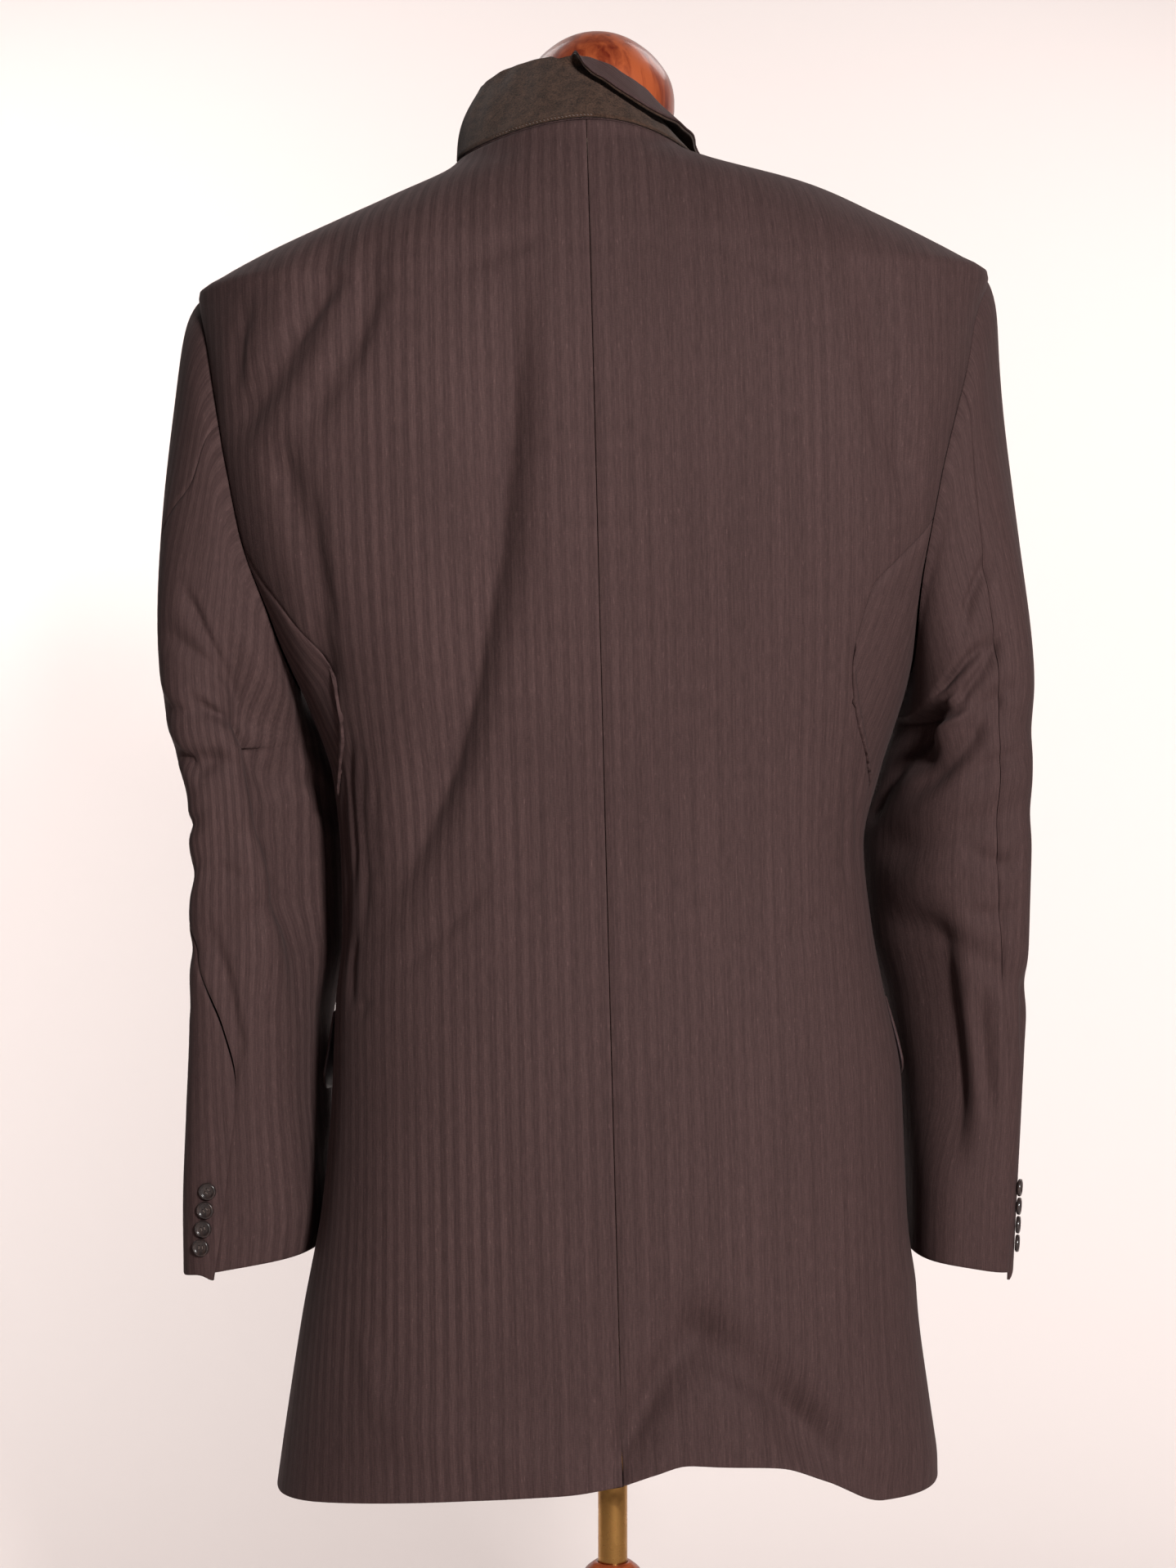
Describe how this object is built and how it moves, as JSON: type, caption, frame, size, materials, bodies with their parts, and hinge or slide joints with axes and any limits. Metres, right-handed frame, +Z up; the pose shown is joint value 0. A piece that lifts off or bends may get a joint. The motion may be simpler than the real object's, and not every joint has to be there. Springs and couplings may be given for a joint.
{
  "type": "blazer on dress form",
  "caption": "Single-breasted wool blazer with its collar half turned up, standing on a limbless dress form with a turned wooden stand.",
  "frame": {"origin": "centre of the underside of the stand's base, on the floor and on the pole's axis", "axes": "+Z up; the wearer faces -Y; the wearer's left is +X"},
  "size_m": [0.5567, 0.31, 1.2438],
  "materials": {
    "wool": "dark brown worsted wool with tonal shadow stripes",
    "felt": "matte undercollar felt",
    "horn": "polished dark horn",
    "linen": "plain linen cover",
    "mahogany": "polished reddish mahogany",
    "brass": "satin brass"
  },
  "bodies": {
    "root": {"back_left": "wool", "back_right": "wool", "side_left": "wool", "side_right": "wool", "front_left": "wool", "front_right": "wool", "lapel_left": "wool", "lapel_right": "wool", "vent_underlap": "wool", "top_sleeve_left": "wool", "top_sleeve_right": "wool", "under_sleeve_left": "wool", "under_sleeve_right": "wool", "cuff_button_left_1": "horn", "cuff_button_left_2": "horn", "cuff_button_left_3": "horn", "cuff_button_left_4": "horn", "cuff_button_right_1": "horn", "cuff_button_right_2": "horn", "cuff_button_right_3": "horn", "cuff_button_right_4": "horn", "undercollar": "felt", "upper_collar": "wool", "pocket_flap_left": "wool", "pocket_flap_right": "wool", "breast_welt": "wool", "front_button_1": "horn", "front_button_2": "horn", "form_torso": "linen", "form_neck_cap": "mahogany", "stand_pole": "brass", "stand_column": "mahogany", "stand_base": "mahogany"}
  },
  "joints": []
}
